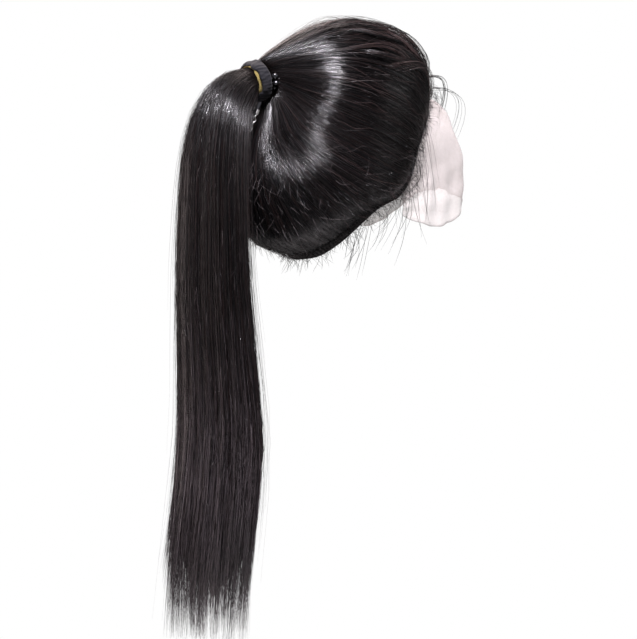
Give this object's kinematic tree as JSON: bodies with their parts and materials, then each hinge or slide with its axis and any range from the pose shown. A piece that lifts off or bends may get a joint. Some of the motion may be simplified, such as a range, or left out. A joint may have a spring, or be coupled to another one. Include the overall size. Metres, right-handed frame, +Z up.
{
  "type": "lace front wig",
  "caption": "Lace front wig of long straight dark hair on a net cap, combed back into a high ponytail held by a gathered fabric tie, with sheer uncut lace along the front hairline.",
  "frame": {"origin": "the point inside the cap that rests on the top of the wearer's head", "axes": "+Z up, -Y the way the wearer faces, +X the wearer's left"},
  "size_m": [0.1836, 0.3215, 0.6335],
  "materials": {
    "net": "fine black cap net",
    "lace": "sheer light brown lace",
    "hair": "glossy straight brown-black hair",
    "tie_fabric": "dark blue-grey gathered cloth",
    "tie_lining": "matte yellow elastic",
    "silver": "polished silver-coloured metal",
    "beads": "glossy black"
  },
  "bodies": {
    "root": {"cap": "net", "lace_front": "lace", "crown_hair": "hair", "ponytail": "hair", "tie_band": "tie_fabric", "tie_lining": "tie_lining", "tie_tab": "tie_fabric", "tie_crimp": "silver", "tie_ring": "silver", "tie_link_1": "silver", "tie_link_2": "silver", "tie_bead_1": "beads", "tie_bead_2": "beads", "tie_bead_3": "beads"}
  },
  "joints": []
}
